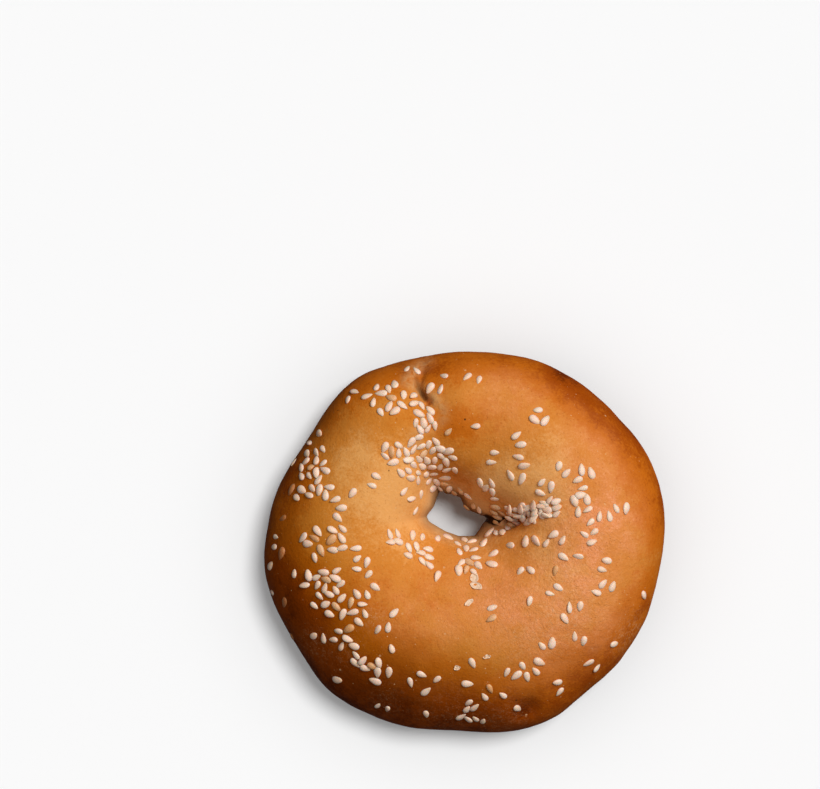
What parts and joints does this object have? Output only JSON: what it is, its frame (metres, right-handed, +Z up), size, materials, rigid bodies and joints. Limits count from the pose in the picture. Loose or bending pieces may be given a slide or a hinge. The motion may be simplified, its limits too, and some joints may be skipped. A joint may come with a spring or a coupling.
{
  "type": "bagel",
  "caption": "whole baked bread ring with a small pinched off-centre hole, a lapped dough seam and sesame seeds baked onto its crust",
  "frame": {"origin": "centre of the bagel's outline, on the flat underside it rests on", "axes": "+Z up out of the crown, +X along the longer side of the outline, +Y towards the thin side of the ring, where the dough was lapped"},
  "size_m": [0.1109, 0.1057, 0.0381],
  "materials": {
    "crust": "baked wheat crust, semi-gloss golden to amber brown, browner towards the rim and base",
    "sesame": "hulled sesame seed, pale cream, some toasted golden"
  },
  "bodies": {
    "root": {"bagel": "crust"}
  },
  "joints": []
}
